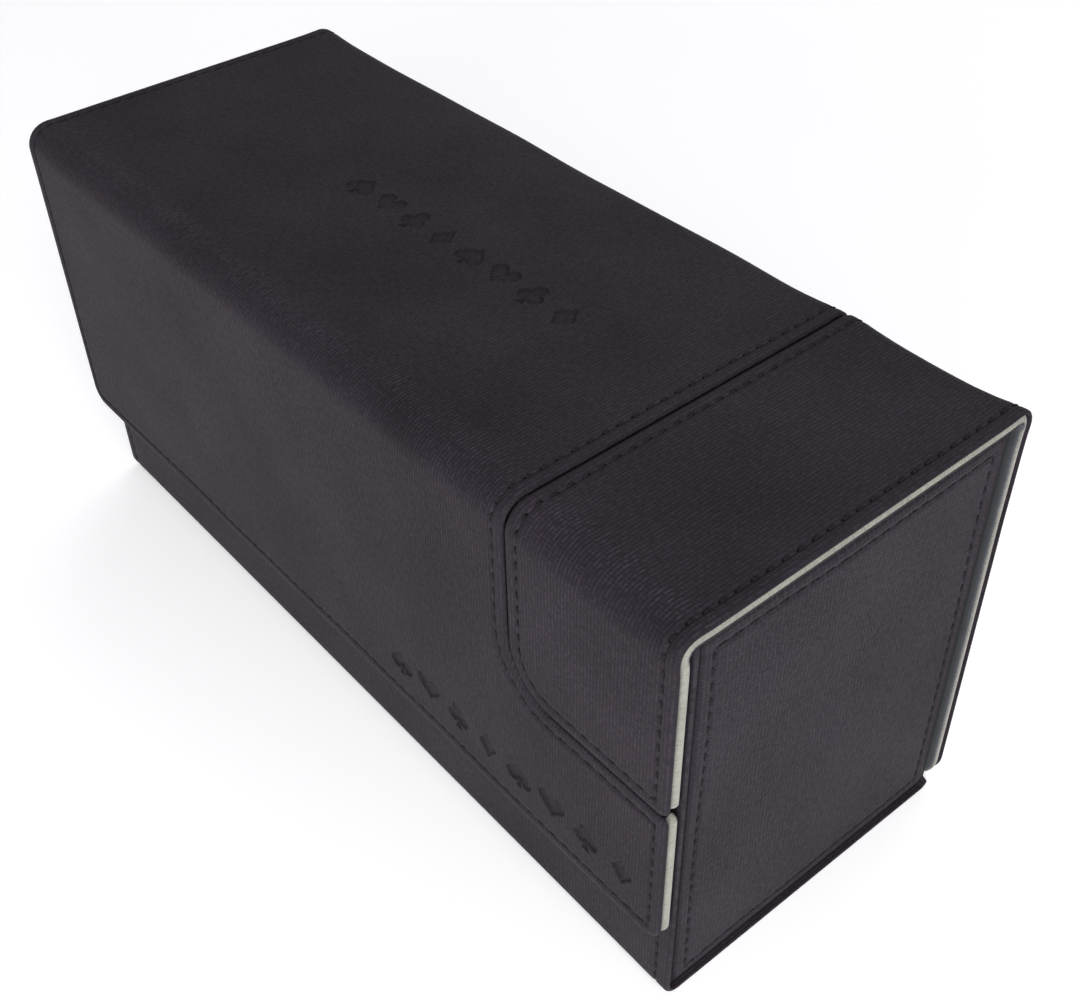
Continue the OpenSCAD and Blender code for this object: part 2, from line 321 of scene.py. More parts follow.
class Path:
    """A line in Y and Z through rounded corners. Its outward side is on the right of the way along it."""

    def __init__(self, corners, radii):
        self.parts, s = [], 0.0
        points = [np.array(c, float) for c in corners]
        start = points[0]
        for i, corner in enumerate(points[1:], 1):
            before = (corner - points[i - 1]) / np.linalg.norm(corner - points[i - 1])
            if i == len(points) - 1:
                self.parts.append(("line", s, s + np.linalg.norm(corner - start), start, before))
                break
            after = (points[i + 1] - corner) / np.linalg.norm(points[i + 1] - corner)
            turn = before[0] * after[1] - before[1] * after[0]
            angle = math.atan2(turn, float(before @ after))
            cut = radii[i - 1] * math.tan(abs(angle) / 2)
            end = corner - before * cut
            length = float(np.linalg.norm(end - start))
            self.parts.append(("line", s, s + length, start, before))
            s += length
            side = math.copysign(1, angle)
            centre = end + side * radii[i - 1] * left_of(before)
            a0 = math.atan2(*(end - centre)[::-1])
            length = radii[i - 1] * abs(angle)
            self.parts.append(("arc", s, s + length, centre, (radii[i - 1], a0, side)))
            s += length
            start = corner + after * cut
        self.length = self.parts[-1][2]
        self.arcs = [(p[1], p[2]) for p in self.parts if p[0] == "arc"]

    def at(self, s):
        """Places on the path, and the outward direction at each."""
        s = np.asarray(s, float)
        place, out = np.zeros((len(s), 2)), np.zeros((len(s), 2))
        for kind, s0, s1, origin, data in self.parts:
            lo = -np.inf if s0 == 0 else s0
            hi = np.inf if s1 == self.length else s1
            m = (s >= lo) & (s <= hi)
            if kind == "line":
                place[m] = origin + np.outer(s[m] - s0, data)
                out[m] = (data[1], -data[0])
            else:
                radius, a0, side = data
                a = a0 + side * (s[m] - s0) / radius
                ray = np.stack([np.cos(a), np.sin(a)], 1)
                place[m] = origin + radius * ray
                out[m] = side * ray
        return place, out

def lid_path(flap_z):
    """The outside of a lid, from the foot of its back panel over the top and down the flap."""
    corners = [(BACK_Y, BACK_Z), (BACK_Y, TOP_Z), (FRONT_Y, TOP_Z), (FRONT_Y, flap_z)]
    return Path(corners, [BACK_FOLD, FRONT_FOLD])


# the board's edge shows through the leatherette this far before the front fold
RIDGE = 0.6
LID_RIDGE = lid_path(FLAP_Z).arcs[1][0] - RIDGE

LID_LEATHER = leatherette("lid_leatherette", (0.0207, 0.0168, 0.0216), 0.85, ridge=LID_RIDGE)
BODY_LEATHER = leatherette("body_leatherette", (0.0207, 0.0168, 0.0216), 0.85)
END_LEATHER = leatherette("end_leatherette", (0.0203, 0.0167, 0.0217), 1.0, 1.0)
# near black: the turned-in leatherette, and painted shade in the gaps and under the lids' edges
TURNED_IN_AND_SHADE = board_material("turned_in_leatherette_and_painted_shade", (0.004, 0.0035, 0.004))
# near black, on the back edge at each end: painted shade of the gap between the end panel and the lid's
# lining
SHADED_LINING = board_material("shaded_lining", (0.004, 0.004, 0.006))
EDGE_FIBRE = microfibre("lid_lining", (0.056, 0.06, 0.07), (0.245, 0.237, 0.205))
WELL_FIBRE = microfibre("well_lining", (0.056, 0.06, 0.07))
THREAD = thread_material("black_thread", (0.0112, 0.0088, 0.0115))
# black pits under the stitches' ends: painted shade in the needle holes
HOLE_SHADE = thread_material("needle_hole_shade", (0.001, 0.001, 0.001))
BOARD = board_material("greyboard", (0.3, 0.275, 0.25))
PLASTIC = plastic_material("divider_plastic", (0.05, 0.05, 0.055))
MAGNET = magnet_material("magnet_nickel")

# ---------------------------------------------------------------- flat patterns and the sheets made from them

CORNER_STEPS = 10
COARSE, FINE = 4.0, 1.0          # spacing of the points inside a pattern, away from a bend and along one
EDGE_U, EDGE_V = 3.0, 1.3        # spacing of the points on its straight edges, along u and along v
CLEAR = 0.55                     # no point inside is nearer to the edge than this
PRESS_STEP = 0.3                 # spacing of the points in and round a pressed suit


def ring(corners, inset, counts, closed):
    """The pattern's outline moved inwards by inset. Its corners are (u, v, radius), anticlockwise. An open
    outline has no edge from its last corner back to its first."""
    n = len(corners)
    pts = [np.array(c[:2], float) for c in corners]
    sides = [pts[(i + 1) % n] - pts[i] for i in range(n if closed else n - 1)]
    dirs = [side / np.linalg.norm(side) for side in sides]
    arcs = []
    for i, (pt, (_, _, own_radius)) in enumerate(zip(pts, corners)):
        if not closed and i in (0, n - 1):
            arcs.append([pt + inset * left_of(dirs[0] if i == 0 else dirs[-1])])
            continue
        d0, d1 = dirs[i - 1], dirs[i]
        n0, n1 = left_of(d0), left_of(d1)
        slide = float(d0 @ n1)
        t = float((n1 - n0) @ n1) / slide if abs(slide) > 1e-9 else 0.0
        corner = pt + inset * (n0 + t * d0)
        convex = d0[0] * d1[1] - d0[1] * d1[0] > 0
        radius = max(own_radius - inset, 0.02) if convex else own_radius + inset
        angle = math.acos(max(-1, min(1, float(d0 @ d1))))
        start = corner - d0 * (radius * math.tan(angle / 2))
        centre = start + (n0 if convex else -n0) * radius
        ray = start - centre
        bend = angle if convex else -angle
        turns = [bend * k / CORNER_STEPS for k in range(CORNER_STEPS + 1)]
        arcs.append([centre + ray * math.cos(w) + left_of(ray) * math.sin(w) for w in turns])
    out = []
    for i, arc in enumerate(arcs):
        out += arc
        if closed or i < n - 1:
            a, b = arc[-1], arcs[(i + 1) % n][0]
            out += [a + (b - a) * k / counts[i] for k in range(1, counts[i])]
    return np.array(out)


def edge_counts(corners, closed):
    """How many steps each straight edge of the outline is cut into."""
    pts = [np.array(c[:2]) for c in corners]
    counts = []
    for a, b in zip(pts, pts[1:] + pts[:1] if closed else pts[1:]):
        along_v = abs(b[1] - a[1]) > abs(b[0] - a[0])
        counts.append(max(2, int(np.linalg.norm(b - a) / (EDGE_V if along_v else EDGE_U))))
    return counts


def inside(points, polygon):
    """Which points are inside the polygon, and how far each is from its edges."""
    hit = np.zeros(len(points), bool)
    near = np.full(len(points), np.inf)
    for a, b in zip(polygon, np.roll(polygon, -1, 0)):
        crosses = (a[1] > points[:, 1]) != (b[1] > points[:, 1])
        with np.errstate(divide="ignore", invalid="ignore"):
            x = (b[0] - a[0]) * (points[:, 1] - a[1]) / (b[1] - a[1]) + a[0]
        hit ^= crosses & (points[:, 0] < x)
        ab = b - a
        t = np.clip(((points - a) @ ab) / max(float(ab @ ab), 1e-12), 0, 1)
        near = np.minimum(near, np.linalg.norm(points - a - t[:, None] * ab, axis=1))
    return hit, near


def stations(lo, hi, fine_spans=()):
    """Values from lo to hi, closer together within the spans."""
    marks = [lo]
    while marks[-1] < hi:
        v = marks[-1]
        close = any(a - COARSE < v < b for a, b in fine_spans)
        marks.append(v + (FINE if close else COARSE))
    return [m for m in marks if m < hi]


def pressed_points(shape, centre, reach):
    """Close-set points in and round a pressed suit, and how deep each is, from 0 to 1."""
    steps = np.arange(-reach, reach, PRESS_STEP)
    rows = enumerate(steps * 1.15)
    dense = np.array([(u + PRESS_STEP / 2 * (k % 2), v * 0.87) for k, v in rows for u in steps])
    dense = dense[np.linalg.norm(dense, axis=1) < reach - PRESS_STEP] + centre
    hit, away = inside(dense, shape)
    ease = np.clip(away / 0.6, 0, 1)
    deep = np.where(hit, ease * ease * (3 - 2 * ease), 0)
    return dense[away > 0.12], deep[away > 0.12]


def fill(outline, fine, suits):
    """Triangles that fill an outline, with points inside it and the suits' own outlines as edges. Returns the
    points, the outline point that each one is (or None), how deep each one is pressed, and the triangles."""
    us = stations(outline[:, 0].min(), outline[:, 0].max())
    vs = stations(outline[:, 1].min(), outline[:, 1].max(), fine)
    grid = np.array([(u, v) for v in vs for u in us])
    hit, near = inside(grid, outline)
    grid = grid[hit & (near > CLEAR)]
    extra, extra_deep, extra_edges = [], [], []
    for shape, centre in suits:
        reach = np.linalg.norm(shape - centre, axis=1).max() + 0.8
        grid = grid[np.linalg.norm(grid - centre, axis=1) > reach]
        dense, deep = pressed_points(shape, centre, reach)
        first, n = len(extra), len(shape)
        extra += [*shape, *dense]
        extra_deep += [0.0] * n + list(deep)
        extra_edges += [(first + i, first + (i + 1) % n) for i in range(n)]
    own, base = len(outline), len(outline) + len(grid)
    source = [Vector(p) for p in (*outline, *grid, *extra)]
    source_deep = [0.0] * base + extra_deep
    edges = [(i, (i + 1) % own) for i in range(own)] + [(base + a, base + b) for a, b in extra_edges]
    points, _, triangles, origins, _, _ = delaunay_2d_cdt(source, edges, [], 1, 1e-5)
    owners = [o[0] if o and o[0] < own else None for o in origins]
    deep = np.array([source_deep[o[0]] if o else 0.0 for o in origins])
    return np.array([tuple(p) for p in points]), owners, deep, triangles


def make_mesh(name, verts, faces, flat, materials, sharp=38.0):
    me = bpy.data.meshes.new(name)
    me.from_pydata([tuple(v * MM) for v in verts], [], faces)
    me.validate()
    uv = me.uv_layers.new(name="flat")
    loops = np.zeros(len(me.loops), np.int32)
    me.loops.foreach_get("vertex_index", loops)
    uv.data.foreach_set("uv", (np.asarray(flat)[loops] * MM).astype(np.float32).ravel())
    ob = bpy.data.objects.new(name, me)
    bpy.context.scene.collection.objects.link(ob)
    bm = bmesh.new()
    bm.from_mesh(me)
    bmesh.ops.recalc_face_normals(bm, faces=bm.faces)
    bm.to_mesh(me)
    bm.free()
    me.shade_smooth()
    me.set_sharp_from_angle(angle=math.radians(sharp))
    for material in materials:
        me.materials.append(material)
    return ob


def point_values(ob, name, values):
    """Give each point of the mesh a value that the materials read."""
    ob.data.attributes.new(name, "FLOAT", "POINT").data.foreach_set("value", values.astype(np.float32))


def sheet(name, corners, profile, to3d, materials, closed=True, fine=(), relief=None, suits=(), tones=None):
    """A closed solid made from a flat pattern.

    profile is the section across its edge, (inset, height, share of the relief), from the inner part of the
    upper face round the edge to the inner part of the lower face. fine holds the spans of v with close rows
    of points, suits are pressed into the upper face, and tones gives the edge its values of tone.
    """
    counts = edge_counts(corners, closed)
    rings = [ring(corners, inset, counts, closed) for inset, _, _ in profile]
    count = len(rings[0])

    def height(points, level):
        """How high the points are at one level of the profile."""
        _, h, share = profile[level]
        if relief is None or not share:
            return np.full(len(points), float(h))
        return h + share * relief(points[:, 0], points[:, 1])

    flat = np.vstack(rings)
    high = np.concatenate([height(points, level) for level, points in enumerate(rings)])
    on_edge = len(flat)
    steps = range(count if closed else count - 1)
    quads = [(j * count + k, j * count + (k + 1) % count) for j in range(len(rings) - 1) for k in steps]
    faces = [(a, b, b + count, a + count) for a, b in quads]
    deep, cuts = np.zeros(on_edge), []
    for level, pressed in ((0, suits), (len(rings) - 1, ())):
        index = list(range(level * count, (level + 1) * count))
        if not closed:
            a, b = flat[index[-1]], flat[index[0]]
            pieces = max(2, int(np.linalg.norm(b - a) / COARSE))
            line = np.array([a + (b - a) * k / pieces for k in range(1, pieces)])
            cuts.append(list(range(len(flat), len(flat) + len(line))))
            flat, high = np.vstack([flat, line]), np.concatenate([high, height(line, level)])
            deep = np.concatenate([deep, np.zeros(len(line))])
            index += cuts[-1]
        points, owners, sunk, triangles = fill(flat[index], fine, pressed)
        new = [i for i, owner in enumerate(owners) if owner is None]
        place = {i: index[owner] for i, owner in enumerate(owners) if owner is not None}
        place.update({i: len(flat) + k for k, i in enumerate(new)})
        flat, deep = np.vstack([flat, points[new]]), np.concatenate([deep, sunk[new]])
        high = np.concatenate([high, height(points[new], level) - PRESSED * sunk[new]])
        faces += [tuple(place[i] for i in triangle) for triangle in triangles]
    if not closed:
        ends = [[j * count + k for j in range(len(rings))] for k in (count - 1, 0)]
        faces.append(tuple(ends[0] + cuts[1] + ends[1][::-1] + cuts[0][::-1]))
    ob = make_mesh(name, to3d(flat[:, 0], flat[:, 1], high), faces, flat, materials)
    if suits:
        point_values(ob, "pressed", deep)
    if tones:
        tone = np.zeros(len(flat))
        tone[:on_edge] = tones(flat[:on_edge, 1], np.repeat(np.arange(len(rings)), count))
        point_values(ob, "tone", tone)
    return ob


# ---------------------------------------------------------------- stitches

STITCH_PITCH, STITCH_INSET = 3.65, 3.0
STITCH_HALF = 0.23               # half a stitch's visible length, as a share of the pitch
THREAD_RADIUS, HOLE_RADIUS = 0.31, 0.54
TUBE_SIDES = 8
# one stitch, (place along its half length, lift, share of the thread's radius), and the hole at its end, a
# black pit that is painted shade
BOW = [(-1.0, -0.12, 0.4), (-0.8, 0.04, 0.8), (-0.35, 0.2, 1.0), (0.35, 0.2, 1.0), (0.8, 0.04, 0.8),
       (1.0, -0.12, 0.4)]
PIT = [(-0.3, 0.25), (-0.05, 0.7), (0.4, 1.0), (0.85, 0.9), (1.0, 0.4)]


def stitches(name, line, to3d, closed=False, bottom=-0.36):
    """Thread that comes up out of the stitch groove and goes down again at each needle hole."""
    if closed:
        line = np.vstack([line, line[:1]])
    run = np.concatenate([[0], np.cumsum(np.linalg.norm(np.diff(line, axis=0), axis=1))])
    number = max(1, round(run[-1] / STITCH_PITCH))
    step = run[-1] / number
    half = step * STITCH_HALF
    verts, faces, marks, flat = [], [], [], []

    def at(s):
        return np.array([np.interp(s, run, line[:, 0]), np.interp(s, run, line[:, 1])])

    def tube(sections, mark):
        """A closed tube: sections are (place, lift, half width, half height)."""
        base = len(verts)
        for s, lift, half_w, half_h in sections:
            p, way = at(s), at(s + 0.05) - at(s - 0.05)
            across = left_of(way / max(np.linalg.norm(way), 1e-9))
            for k in range(TUBE_SIDES):
                a = 2 * math.pi * k / TUBE_SIDES
                q = p + across * half_w * math.cos(a)
                verts.append((*q, bottom + lift + half_h * math.sin(a)))
                flat.append(q)
        tube_faces = []
        for j in range(len(sections) - 1):
            row = base + j * TUBE_SIDES
            for k in range(TUBE_SIDES):
                a, b = row + k, row + (k + 1) % TUBE_SIDES
                tube_faces.append((a, b, b + TUBE_SIDES, a + TUBE_SIDES))
        for cap in (0, len(sections) - 1):
            tube_faces.append(tuple(base + cap * TUBE_SIDES + k for k in range(TUBE_SIDES)))
        faces.extend(tube_faces)
        marks.extend([mark] * len(tube_faces))

    for i in range(number):
        middle = (i + 0.5) * step
        tube([(middle + half * t, lift, THREAD_RADIUS * w, THREAD_RADIUS * w * 0.8) for t, lift, w in BOW], 0)
        # a black pit round each stitch's ends: painted shade of the needle holes
        tube([(middle + (half + 0.25) * t, 0.04, HOLE_RADIUS * w, 0.17) for t, w in PIT], 1)
    verts, flat = np.array(verts), np.array(flat)
    ob = make_mesh(name, to3d(verts[:, 0], verts[:, 1], verts[:, 2]), faces, flat, [THREAD, HOLE_SHADE], 60)
    ob.data.polygons.foreach_set("material_index", marks)
    return ob


# ---------------------------------------------------------------- pressed row of card suits

SUITS = ("spade", "heart", "club", "diamond")
SUIT_COUNT, SUIT_PITCH = 8, 10
DIAMOND = [(3.1, 0), (1.4, 2.0), (0, 4.1), (-1.4, 2.0), (-3.1, 0), (-1.4, -2.0), (0, -4.1), (1.4, -2.0)]


def club():
    """Three round lobes of one radius, reach away from the middle, and a stem where the fourth would be."""
    reach, radius = 4.8, 4.9
    t = np.linspace(0, 2 * math.pi, 41)[:-1]
    nearest = np.abs((t - math.pi / 2) % (2 * math.pi / 3))
    gap = np.minimum(nearest, 2 * math.pi / 3 - nearest)
    r = reach * np.cos(gap) + np.sqrt(radius ** 2 - (reach * np.sin(gap)) ** 2)
    lobes = np.stack([r * np.cos(t), r * np.sin(t)], 1)
    below = np.abs((t - 0.5 * math.pi) % (2 * math.pi) - math.pi) < 0.27
    left, right = lobes[~below & (t <= 1.5 * math.pi)], lobes[~below & (t > 1.5 * math.pi)]
    stem = [(-1.1, -5.6), (-3.2, -11.2), (3.2, -11.2), (1.1, -5.6)]
    return (np.vstack([left, stem, right]) + (0, 1.0)) * 0.38


def heart_curve():
    t = np.linspace(0, 2 * math.pi, 49)[:-1]
    v = 13 * np.cos(t) - 5 * np.cos(2 * t) - 2 * np.cos(3 * t) - np.cos(4 * t)
    return np.stack([16 * np.sin(t) ** 3, v], 1)[::-1]


def spade():
    """A heart upside down, with a stem in place of its dent."""
    turned = (heart_curve() * (1, -1))[::-1]
    keep = [p for p in turned if abs(p[0]) > 1.4 or p[1] > 0]
    start = next(i for i, p in enumerate(keep) if p[0] > 0 and keep[i - 1][0] < 0 and p[1] < 0)
    stem = [(-1.3, -6.5), (-4.2, -16), (4.2, -16), (1.3, -6.5)]
    return (np.array(keep[start:] + keep[:start] + stem) + (0, 0.5)) * 0.245


def suit(kind):
    """Outline of a card suit about 8 mm tall, anticlockwise, pointing along +v."""
    if kind == "diamond":
        return np.array(DIAMOND)
    if kind == "heart":
        return (heart_curve() + (0, 2.5)) * 0.25
    return club() if kind == "club" else spade()


def suit_row(u0, v):
    """A row of suits to press in, each an outline and its centre; up is against the way along the lid."""
    centres = [np.array([u0 + SUIT_PITCH * i, v]) for i in range(SUIT_COUNT)]
    return [(suit(SUITS[i % len(SUITS)]) * (1, -1) + centre, centre) for i, centre in enumerate(centres)]


# ---------------------------------------------------------------- lids

LEAN = (1.3, -1.0, 0)
FOLD_CORNER = 8                  # radius of a back panel's lower corners
GAP = 0.25                       # beside the other lid, how far leatherette stands out and the pad stays in
BEND = 3.0                       # half the length of a span across the folded corner, round its hinge; its ends are worked out and not used


def lean(points):
    """The dice end is not quite square: its lower back corner sticks out and turns in a little. The shift
    fades out 80 mm up, at the front, and 50 mm in from the end."""
    x, y, z = points.T
    share = np.clip((80 - z) / 80, 0, 1) * np.clip((y + 44) / 88, 0, 1) * np.clip((x - 60) / 50, 0, 1)
    return points + np.outer(share, LEAN)


def along(path, x, s, h):
    """Places h outside the path, at s along it and x across it."""
    place, out = path.at(s)
    return lean(np.stack([x, place[:, 0] + out[:, 0] * h, place[:, 1] + out[:, 1] * h], 1))


def bump_field(seed, sizes, height):
    """A smooth, gentle unevenness made of a few waves."""
    rng = np.random.default_rng(seed)
    waves = []
    for size in sizes:
        a = rng.uniform(0, math.pi)
        waves.append((math.cos(a) / size, math.sin(a) / size, rng.uniform(0, 6.28), height * size / sizes[0]))
    return lambda u, v: sum(h * np.sin(2 * math.pi * (a * u + b * v) + p) for a, b, p, h in waves)


# section of the leatherette's edge: (inset, height, share of the relief), with the stitch groove at inset 3
LEATHER_EDGE = [(7.0, 0, 1), (5.8, 0, 1), (4.9, 0.02, 1), (4.2, 0.03, 1), (3.75, -0.02, 1), (3.45, -0.12, 1),
                (3.2, -0.27, 1), (3.0, -0.34, 1), (2.8, -0.27, 1), (2.55, -0.12, 1), (2.25, -0.02, 1),
                (1.8, 0.03, 1), (1.2, 0.01, 0.7), (0.75, -0.05, 0.5), (0.42, -0.15, 0.2), (0.2, -0.3, 0),
                (0.05, -0.48, 0), (0.0, -0.68, 0), (0.02, -0.84, 0), (0.15, -0.9, 0), (7.0, -0.9, 0)]
# section of the edge of the lining and board below it: (inset, share of the way from the top to the bottom)
PAD_EDGE = [(7.0, 0), (1.3, 0), (1.05, 0.04), (0.75, 0.13), (0.45, 0.28), (0.2, 0.46), (0.05, 0.64),
            (0.0, 0.76), (0.05, 0.87), (0.22, 0.96), (0.5, 1), (1.2, 1), (2.2, 1), (3.4, 1), (7.0, 1)]
# how pale that edge is on each row of PAD_EDGE: 1 is the cut edge, 0 the face and less than 0 painted deep
# shade; the lower values next to the leatherette and in the gaps are painted shade
BACK_TONES = np.array([0, 0, 0.5, 1, 1, 1, 1, 0.95, 0.8, 0.45, 0.05, -0.4, -0.6, -0.5, 0])
TOP_TONES = np.array([0, 0, 0.4, 0.8, 1, 1, 0.75, -2.2, -2.2, -2.2, -0.3, 0, 0, 0, 0])
FLAP_TONES = np.array([0, 0, 0.0, 0.3, 0.7, 0.95, 1, 1, 0.9, 0.6, 0.3, 0.15, 0, 0, 0])
DEEP_SHADE = -0.6                # faces with a lower tone than this get the dark material


def darken_turned_in_and_shade(pad, corners, lowest):
    """Give the near-black material to the faces in deep shade, which is painted shade, and to the edge beside
    the other lid, where the leatherette is turned in round the board and hides the lining."""
    me, uv = pad.data, pad.data.uv_layers["flat"].data
    centres = np.array([np.mean([uv[i].uv for i in face.loop_indices], 0) for face in me.polygons]) * 1000
    keep, _ = inside(centres, ring(corners, 1.6, edge_counts(corners, False), False))
    u, v = centres.T
    corner = (v < 9) & (u > NEAR_X - 9)
    turned_in = ~keep & ~corner & (u > FAR_X + 9) & (u < NEAR_X - 1.6) & (v > 1.6) & (v < lowest)
    tone = np.array([point.value for point in me.attributes["tone"].data])
    shade = np.array([tone[list(face.vertices)].mean() for face in me.polygons]) < DEEP_SHADE
    me.polygons.foreach_set("material_index", (turned_in | shade).astype(np.int32))


def lid_patterns(size, x0, x1, split, end, nest, gap):
    """The back and front halves of a lid's pattern; the edges beside the other lid stand out by gap."""
    if size == "small":
        u0, low = x0 - gap, end + gap
        return ([(u0, split, 0), (u0, 0, FOLD_CORNER), (x1, 0, FOLD_CORNER), (x1, split, 0)],
                [(x1, split, 0), (x1, low, 2.5), (u0, low, 12), (u0, split, 0)])
    u1, foot = x1 + gap, nest - gap
    return ([(x0, split, 0), (x0, 0, FOLD_CORNER), (u1, 0, FOLD_CORNER), (u1, split, 0)],
            [(u1, split, 0), (u1, foot, 13.2), (NEAR_X, foot, 1.5), (NEAR_X, end, 4.5), (x0, end, 5),
             (x0, split, 0)])


def build_lid(size, x0, x1, flap_z, seed):
    path = lid_path(flap_z)
    (b0, b1), (f0, f1) = path.arcs
    split = b1 + (BACK_Y - BACK_FOLD - SPLIT_Y)
    back_mid, front_mid, end = (b0 + b1) / 2, (f0 + f1) / 2, path.length
    nest = end - (NEST_Z - flap_z)
    wave = bump_field(seed, (34, 52, 78), 0.05)

    def sag(x, s):
        """The folds sink a little between the stitched ends, where they stand proud."""
        from_end = np.minimum(x - x0, x1 - x)
        middle = 1 - np.exp(-(np.maximum(from_end, 0) / 9) ** 2)
        back = np.exp(-((s - back_mid) / 5.5) ** 2)
        front = np.exp(-((s - front_mid) / 4.0) ** 2)
        pinch = np.exp(-(np.maximum(NEAR_X - x, 0) / 6) ** 2)
        tight = np.exp(-((s - back_mid) / 3.2) ** 2) * 0.45 + np.exp(-((s - front_mid) / 3.2) ** 2) * 0.95
        return back * (0.3 - 0.75 * middle) + front * (0.05 - 0.25 * middle) + pinch * tight

    def to3d(x, s, h):
        """Inside the front fold the pad is thinned to clear the rim, all but its strip at the near end."""
        bare = np.clip(np.minimum(s - f0 + 3, f1 + 2.5 - s) / 2.5, 0, 1)
        inner = np.clip((NEAR_X - 0.75 - x) / 0.7, 0, 1)
        thinned = 0.66 * inner * bare * bare * (3 - 2 * bare)
        return along(path, x, s, h - np.minimum(h + LEATHER, 0) * thinned + sag(x, s))

    def relief(x, s):
        """Gentle unevenness, and the board's edge showing through above the front fold."""
        worn = 1 + 0.35 * np.sin(x * 3.9 + 2 * np.sin(x * 0.8))
        return wave(x, s) + 0.16 * np.exp(-((s - f0 + RIDGE) / 0.9) ** 2) * worn

    def tones(s, row):
        """Painted shade on the pad's edge: on top only a thin band of the cut edge is pale, with painted
        black shadow of the gap below it, and on the back panel its inner half is painted into the shade of
        the gap by the body.
        """
        low, front = np.clip((b1 - s) / (b1 - b0), 0, 1), np.clip((s - f0) / (f1 - f0), 0, 1)
        return low * BACK_TONES[row] + front * FLAP_TONES[row] + (1 - low - front) * TOP_TONES[row]

    suits = []
    if size == "large":
        suits = suit_row(-34.5, f0 + FRONT_Y + FRONT_FOLD) + suit_row(33.5, end - (37.5 - flap_z))
    fine = ((b0 - 2, b1 + 2), (f0 - 3, f1 + 2))
    pad_edge = [(inset, -LEATHER - share * (PANEL - LEATHER), 0) for inset, share in PAD_EDGE]
    lid, flap = size + "_lid", size + "_flap"
    pivots = {j["name"]: np.array(j["pos_m"]) for j in frame["joints"] if j["type"] == "hinge"}
    back_pivot, front_pivot = pivots[size + "_lid_hinge"], pivots[size + "_flap_fold"]
    across = np.array([0, -1, 1]) / math.sqrt(2) * BEND * MM
    over = np.array([0, -1, -1]) / math.sqrt(2) * BEND * MM
    halves = (("back", ("back",), "root", lid, back_pivot - across, back_pivot + across),
              ("front", ("top", "flap"), lid, flap, front_pivot - over, front_pivot + over))
    for which, (half, parts, a, b, start, stop) in enumerate(halves):
        corners, pad_corners = (lid_patterns(size, x0, x1, split, end, nest, g)[which] for g in (GAP, -GAP))
        cover = sheet(f"{size}_{half}_leather", corners, LEATHER_EDGE, to3d, [LID_LEATHER],
                      closed=False, fine=fine, relief=relief, suits=suits if half == "front" else ())
        pad = sheet(f"{size}_{half}_pad", pad_corners, pad_edge, to3d, [EDGE_FIBRE, TURNED_IN_AND_SHADE],
                    closed=False, fine=fine, tones=tones)
        darken_turned_in_and_shade(pad, pad_corners, end - 9 if size == "large" else np.inf)
        line = ring(corners, STITCH_INSET, edge_counts(corners, False), False)
        thread = stitches(f"{size}_{half}_stitches", line, lambda u, v, h: to3d(u, v, h + relief(u, v)))
        for piece in (cover, pad, thread):
            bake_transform(piece)
            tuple(start)
            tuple(stop)
        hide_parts(*[f"{size}_{p}_cover" for p in parts], f"{size}_{half}_fold")
        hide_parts(*[f"{size}_{p}_{layer}" for p in parts for layer in ("board", "lining")])


build_lid("large", FAR_X, LARGE_X1, FLAP_Z, 3)
build_lid("small", SMALL_X0, NEAR_X, SMALL_FLAP_Z, 8)


# ---------------------------------------------------------------- body

# section of the wrap's edge: (inset, height, share of the relief), with the stitch groove at inset 3.5
WRAP_GROOVE = 3.5
WRAP_EDGE = [(7.0, 0, 1), (5.5, 0, 1), (4.3, 0, 1), (3.9, -0.06, 1), (3.65, -0.2, 1), (WRAP_GROOVE, -0.26, 1),
             (3.35, -0.2, 1), (3.1, -0.06, 1), (2.6, 0, 1), (1.6, 0, 0.6), (0.9, -0.03, 0.3), (0.5, -0.12, 0),
             (0.25, -0.28, 0), (0.08, -0.5, 0), (0.0, -0.75, 0), (0.02, -1.0, 0), (0.15, -1.14, 0),
             (0.4, -WRAP, 0), (7.0, -WRAP, 0)]
SEAM_PAST = 1.4                  # how far the end panel runs back past its CAD box, to follow the photo


def build_body():
    """The leatherette round the front, base and back, with a line of stitches at each end of the front."""
    path = Path([(WRAP_LO[1], RIM_Z), (WRAP_LO[1], 0), (WRAP_BACK_Y, 0), (WRAP_BACK_Y, RIM_Z)], [3.6, 2.4])
    wave = bump_field(21, (40, 60, 90), 0.05)
    (f0, f1), (b0, b1) = path.arcs

    def to3d(x, s, h):
        return along(path, x, s, h)

    def relief(x, s):
        on_wall = np.clip((f0 - s) / 8, 0, 1) + np.clip((s - b1) / 8, 0, 1)
        return (wave(x, s) - 0.1) * on_wall

    x0, x1 = WRAP_LO[0], WRAP_HI[0]
    corners = [(x1, 0, 1), (x1, b1 - 0.6, 0.3), (WRAP_BACK_X, b1 + 1.5, 0.6), (WRAP_BACK_X, path.length, 1),
               (x0, path.length, 1), (x0, 0, 1)]
    fine = ((f0 - 2, f1 + 2), (b0 - 2, b1 + 2))
    wrap = sheet("body_wrap", corners, WRAP_EDGE, to3d, [BODY_LEATHER], fine=fine, relief=relief)
    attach(wrap, "root")
    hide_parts("front_cover", "base_cover", "back_cover")
    for name, x in (("near", x1 - WRAP_GROOVE), ("far", x0 + WRAP_GROOVE)):
        line = np.array([(x, s) for s in np.linspace(2, f0 + 0.5, 60)])
        thread = stitches(f"front_{name}_stitches", line, lambda u, v, h: to3d(u, v, h + relief(u, v)),
                          bottom=-0.28)
        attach(thread, "root")


def rectangle(y0, y1, z0, z1, radius):
    return [(y0, z0, radius), (y1, z0, radius), (y1, z1, radius), (y0, z1, radius)]


